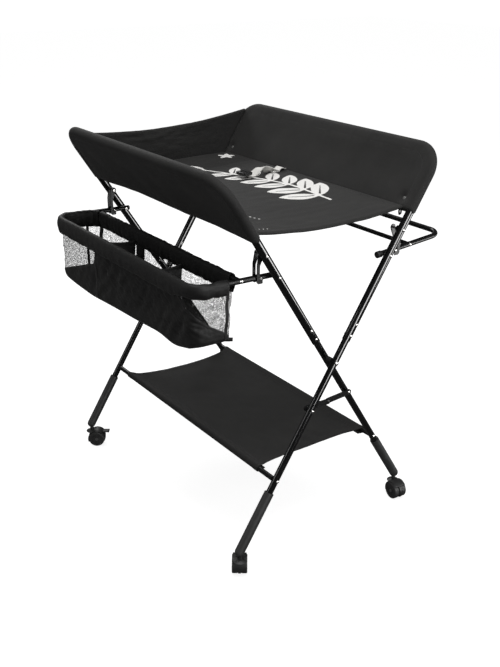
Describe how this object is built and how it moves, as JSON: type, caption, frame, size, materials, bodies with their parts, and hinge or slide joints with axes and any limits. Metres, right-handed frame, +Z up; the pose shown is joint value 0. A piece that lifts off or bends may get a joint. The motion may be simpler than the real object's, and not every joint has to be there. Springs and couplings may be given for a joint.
{
  "type": "changing table",
  "caption": "Folding baby changing table on an X-shaped tube frame with a fabric tray, hanging basket, towel rack, cloth shelf and swivel casters.",
  "frame": {"origin": "on the floor, midway between the two X pivots", "axes": "+Z up; X along the long side, with the padded head wall at -X and the open foot end at +X; the basket hangs at -Y and the rack at +Y"},
  "size_m": [0.8095, 0.7383, 0.9798],
  "materials": {
    "frame_steel": "gloss black powder coat",
    "bar_steel": "semi-gloss black powder coat",
    "plate_steel": "satin black",
    "rivet_steel": "bright nickel plate",
    "pin_steel": "zinc plate",
    "spacer_plastic": "moulded",
    "foot_plastic": "moulded, fine satin",
    "caster_plastic": "moulded, satin",
    "wheel_plastic": "moulded nylon",
    "brake_plastic": "moulded",
    "cap_plastic": "moulded",
    "tray_cloth": "woven black oxford cloth",
    "bed_cloth": "woven black oxford cloth with a printed pale motif",
    "shelf_cloth": "woven black oxford cloth",
    "basket_cloth": "black polyester with see-through net",
    "belt_webbing": "woven white webbing",
    "slider_plastic": "moulded white",
    "buckle_plastic": "moulded black",
    "snap_metal": "dark satin cap"
  },
  "bodies": {
    "inner_frame": {"inner_top_frame": "frame_steel", "inner_leg_near": "frame_steel", "inner_leg_far": "frame_steel", "inner_frame_rivets": "rivet_steel", "rear_shelf_bar": "bar_steel", "pivot_bolts": "rivet_steel", "pivot_spacers": "spacer_plastic", "inner_side_wall": "tray_cloth", "head_wall": "tray_cloth", "bed_panel": "bed_cloth", "shelf_panel": "shelf_cloth", "belt_webbing": "belt_webbing", "belt_slider": "slider_plastic", "belt_buckle": "buckle_plastic"},
    "outer_frame": {"outer_top_frame": "frame_steel", "outer_leg_near": "frame_steel", "outer_leg_far": "frame_steel", "outer_frame_rivets": "rivet_steel", "front_shelf_bar": "bar_steel", "outer_side_wall": "tray_cloth", "wall_snaps": "snap_metal"},
    "basket": {"basket_frame": "bar_steel", "basket_cross_bar": "bar_steel", "basket_rivets": "rivet_steel", "basket_bag": "basket_cloth"},
    "rack": {"rack_frame": "bar_steel", "rack_cross_bar": "bar_steel", "rack_rivets": "rivet_steel", "rack_end_caps": "cap_plastic"},
    "basket_hook_near": {"basket_hook_near": "plate_steel"},
    "rack_hook_near": {"rack_hook_near": "plate_steel"},
    "basket_hook_far": {"basket_hook_far": "plate_steel"},
    "rack_hook_far": {"rack_hook_far": "plate_steel"},
    "stay_outer_near": {"stay_outer_near": "plate_steel"},
    "stay_inner_near": {"stay_inner_near": "plate_steel"},
    "stay_outer_far": {"stay_outer_far": "plate_steel"},
    "stay_inner_far": {"stay_inner_far": "plate_steel"},
    "foot_outer_near": {"foot_sleeve_outer_near": "foot_plastic"},
    "caster_outer_near": {"caster_hood_outer_near": "caster_plastic", "caster_pins_outer_near": "pin_steel"},
    "wheels_outer_near": {"caster_wheels_outer_near": "wheel_plastic"},
    "brake_outer_near": {"brake_lever_outer_near": "brake_plastic"},
    "foot_outer_far": {"foot_sleeve_outer_far": "foot_plastic"},
    "caster_outer_far": {"caster_hood_outer_far": "caster_plastic", "caster_pins_outer_far": "pin_steel"},
    "wheels_outer_far": {"caster_wheels_outer_far": "wheel_plastic"},
    "brake_outer_far": {"brake_lever_outer_far": "brake_plastic"},
    "foot_inner_near": {"foot_sleeve_inner_near": "foot_plastic"},
    "caster_inner_near": {"caster_hood_inner_near": "caster_plastic", "caster_pins_inner_near": "pin_steel"},
    "wheels_inner_near": {"caster_wheels_inner_near": "wheel_plastic"},
    "foot_inner_far": {"foot_sleeve_inner_far": "foot_plastic"},
    "caster_inner_far": {"caster_hood_inner_far": "caster_plastic", "caster_pins_inner_far": "pin_steel"},
    "wheels_inner_far": {"caster_wheels_inner_far": "wheel_plastic"}
  },
  "joints": [
    {"name": "fold", "type": "hinge", "parent": "inner_frame", "child": "outer_frame", "pos_m": [0, 0, 0.5], "axis": [1, 0, 0], "range_deg": [0, 52], "deforming": ["bed_panel", "head_wall", "shelf_panel", "belt_webbing", "belt_slider", "belt_buckle"]},
    {"name": "basket_lift", "type": "hinge", "parent": "inner_frame", "child": "basket", "pos_m": [0, -0.15526, 0.74], "axis": [-1, 0, 0], "range_deg": [0, 44]},
    {"name": "rack_lift", "type": "hinge", "parent": "outer_frame", "child": "rack", "pos_m": [0, 0.15526, 0.74], "axis": [1, 0, 0], "range_deg": [0, 44]},
    {"name": "basket_hook_near_swing", "type": "hinge", "parent": "inner_frame", "child": "basket_hook_near", "pos_m": [0, -0.19214, 0.797], "axis": [-1, 0, 0], "range_deg": [0, 25]},
    {"name": "rack_hook_near_swing", "type": "hinge", "parent": "outer_frame", "child": "rack_hook_near", "pos_m": [0, 0.19214, 0.797], "axis": [1, 0, 0], "range_deg": [0, 25]},
    {"name": "basket_hook_far_swing", "type": "hinge", "parent": "inner_frame", "child": "basket_hook_far", "pos_m": [0, -0.19214, 0.797], "axis": [-1, 0, 0], "range_deg": [0, 25]},
    {"name": "rack_hook_far_swing", "type": "hinge", "parent": "outer_frame", "child": "rack_hook_far", "pos_m": [0, 0.19214, 0.797], "axis": [1, 0, 0], "range_deg": [0, 25]},
    {"name": "stay_outer_near_turn", "type": "hinge", "parent": "outer_frame", "child": "stay_outer_near", "pos_m": [0, -0.07019, 0.3915], "axis": [1, 0, 0], "range_deg": [0, 53.88]},
    {"name": "stay_inner_near_turn", "type": "hinge", "parent": "inner_frame", "child": "stay_inner_near", "pos_m": [0, 0.07019, 0.3915], "axis": [1, 0, 0], "range_deg": [-53.88, 0]},
    {"name": "stay_outer_far_turn", "type": "hinge", "parent": "outer_frame", "child": "stay_outer_far", "pos_m": [0, -0.07019, 0.3915], "axis": [1, 0, 0], "range_deg": [0, 53.88]},
    {"name": "stay_inner_far_turn", "type": "hinge", "parent": "inner_frame", "child": "stay_inner_far", "pos_m": [0, 0.07019, 0.3915], "axis": [1, 0, 0], "range_deg": [-53.88, 0]},
    {"name": "foot_slide_outer_near", "type": "slide", "parent": "outer_frame", "child": "foot_outer_near", "axis": [0, -0.5432, -0.8396], "range_m": [0, 0.06]},
    {"name": "caster_swivel_outer_near", "type": "hinge", "parent": "foot_outer_near", "child": "caster_outer_near", "pos_m": [0.385, -0.27798, 0.055], "axis": [0, 0, 1], "continuous": true},
    {"name": "wheel_roll_outer_near", "type": "hinge", "parent": "caster_outer_near", "child": "wheels_outer_near", "pos_m": [0.37302, -0.26896, 0.0235], "axis": [-0.6018, -0.7986, 0], "continuous": true},
    {"name": "brake_press_outer_near", "type": "hinge", "parent": "caster_outer_near", "child": "brake_outer_near", "pos_m": [0.35779, -0.25748, 0.04468], "axis": [-0.6018, -0.7986, 0], "range_deg": [0, 12]},
    {"name": "foot_slide_outer_far", "type": "slide", "parent": "outer_frame", "child": "foot_outer_far", "axis": [0, -0.5432, -0.8396], "range_m": [0, 0.06]},
    {"name": "caster_swivel_outer_far", "type": "hinge", "parent": "foot_outer_far", "child": "caster_outer_far", "pos_m": [-0.385, -0.27798, 0.055], "axis": [0, 0, 1], "continuous": true},
    {"name": "wheel_roll_outer_far", "type": "hinge", "parent": "caster_outer_far", "child": "wheels_outer_far", "pos_m": [-0.37597, -0.26601, 0.0235], "axis": [-0.7986, 0.6018, 0], "continuous": true},
    {"name": "brake_press_outer_far", "type": "hinge", "parent": "caster_outer_far", "child": "brake_outer_far", "pos_m": [-0.3645, -0.25078, 0.04468], "axis": [-0.7986, 0.6018, 0], "range_deg": [0, 12]},
    {"name": "foot_slide_inner_near", "type": "slide", "parent": "inner_frame", "child": "foot_inner_near", "axis": [0, 0.5432, -0.8396], "range_m": [0, 0.06]},
    {"name": "caster_swivel_inner_near", "type": "hinge", "parent": "foot_inner_near", "child": "caster_inner_near", "pos_m": [0.352, 0.27798, 0.055], "axis": [0, 0, 1], "continuous": true},
    {"name": "wheel_roll_inner_near", "type": "hinge", "parent": "caster_inner_near", "child": "wheels_inner_near", "pos_m": [0.36689, 0.27616, 0.0235], "axis": [0.1219, 0.9925, 0], "continuous": true},
    {"name": "foot_slide_inner_far", "type": "slide", "parent": "inner_frame", "child": "foot_inner_far", "axis": [0, 0.5432, -0.8396], "range_m": [0, 0.06]},
    {"name": "caster_swivel_inner_far", "type": "hinge", "parent": "foot_inner_far", "child": "caster_inner_far", "pos_m": [-0.352, 0.27798, 0.055], "axis": [0, 0, 1], "continuous": true},
    {"name": "wheel_roll_inner_far", "type": "hinge", "parent": "caster_inner_far", "child": "wheels_inner_far", "pos_m": [-0.36103, 0.28996, 0.0235], "axis": [-0.7986, -0.6018, 0], "continuous": true}
  ],
  "couplings": [
    {"joint": "stay_outer_near_turn", "follows": "fold", "ratio": 1.0323},
    {"joint": "stay_inner_near_turn", "follows": "fold", "ratio": -1.0323},
    {"joint": "stay_outer_far_turn", "follows": "fold", "ratio": 1.0323},
    {"joint": "stay_inner_far_turn", "follows": "fold", "ratio": -1.0323}
  ]
}
